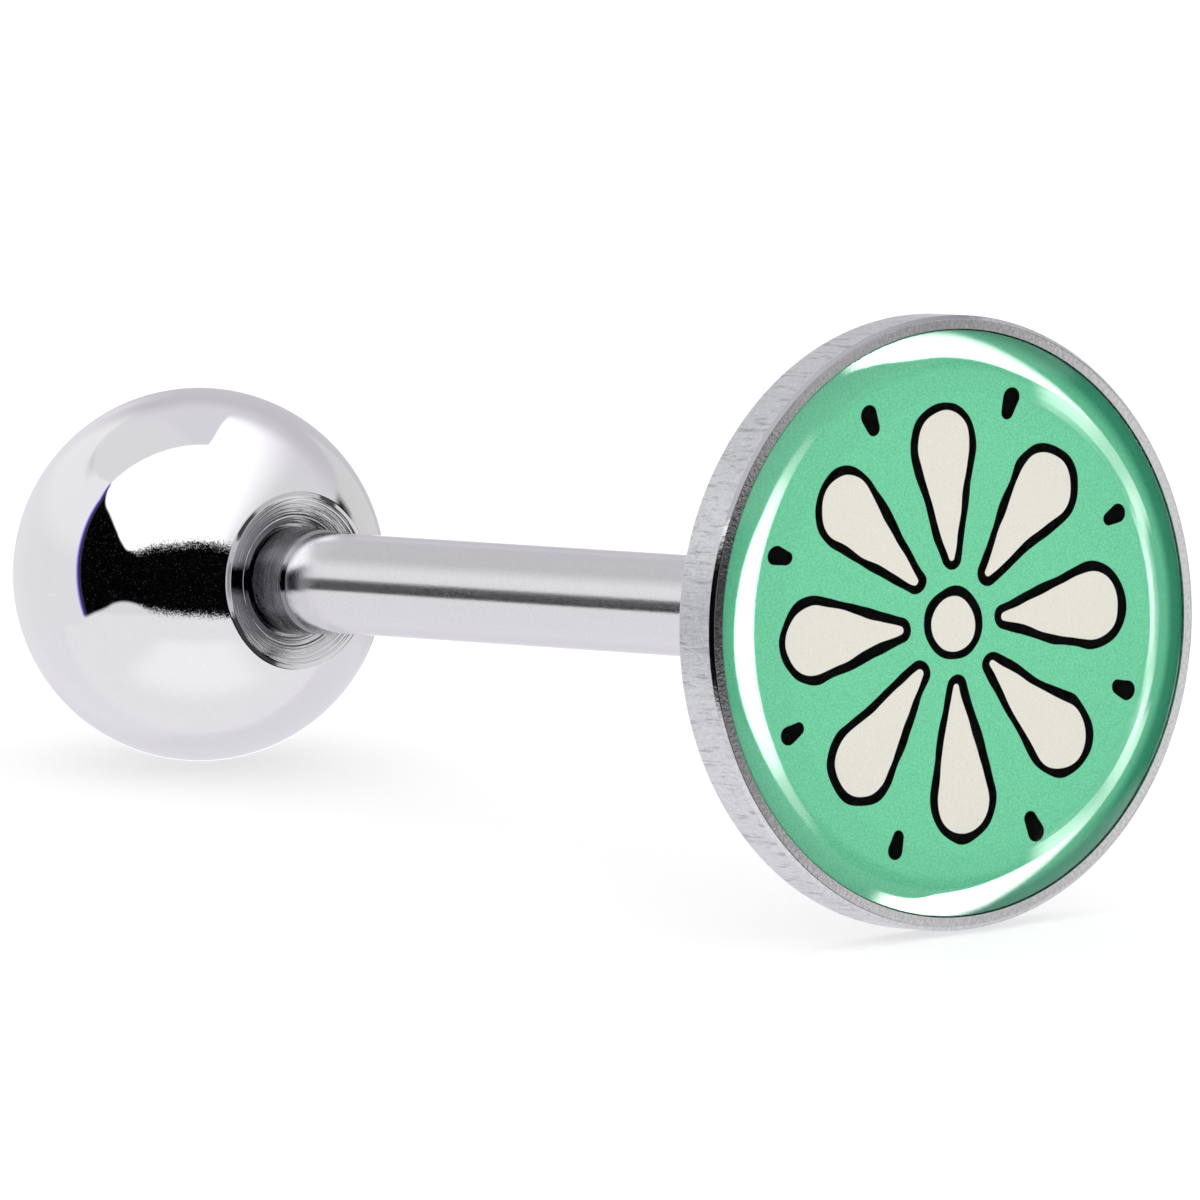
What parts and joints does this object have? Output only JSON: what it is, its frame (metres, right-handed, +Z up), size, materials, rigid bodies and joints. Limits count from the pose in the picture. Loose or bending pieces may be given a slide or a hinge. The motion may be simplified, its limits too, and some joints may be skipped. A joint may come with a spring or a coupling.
{
  "type": "tongue barbell",
  "caption": "Straight tongue barbell: a steel bar with a domed printed disc fixed on one end and a ball that unscrews from the other to let the bar through a piercing.",
  "frame": {"origin": "on the surface that it lies on, under the middle of its bounding box", "axes": "+X along the bar from the ball to the disc, which points 5.3 degrees up because the disc is wider than the ball; +Z up"},
  "size_m": [0.023, 0.0094, 0.0095],
  "materials": {
    "satin_steel": "fine turned and brushed steel on the cup's wall, polished on the bar and the lip",
    "polished_steel": "mirror polished, with fine turned rings in the dish around the bar",
    "printed_insert": "printed, fine grain",
    "clear_resin": "clear, glossy"
  },
  "bodies": {
    "bar": {"cup_and_bar": "satin_steel", "print_disc": "printed_insert", "clear_dome": "clear_resin"},
    "ball_end": {"ball": "polished_steel"}
  },
  "joints": [
    {"name": "ball_unscrew", "type": "slide", "parent": "bar", "child": "ball_end", "axis": [-0.9957, 0, -0.0924], "range_m": [0, 0.02]}
  ]
}
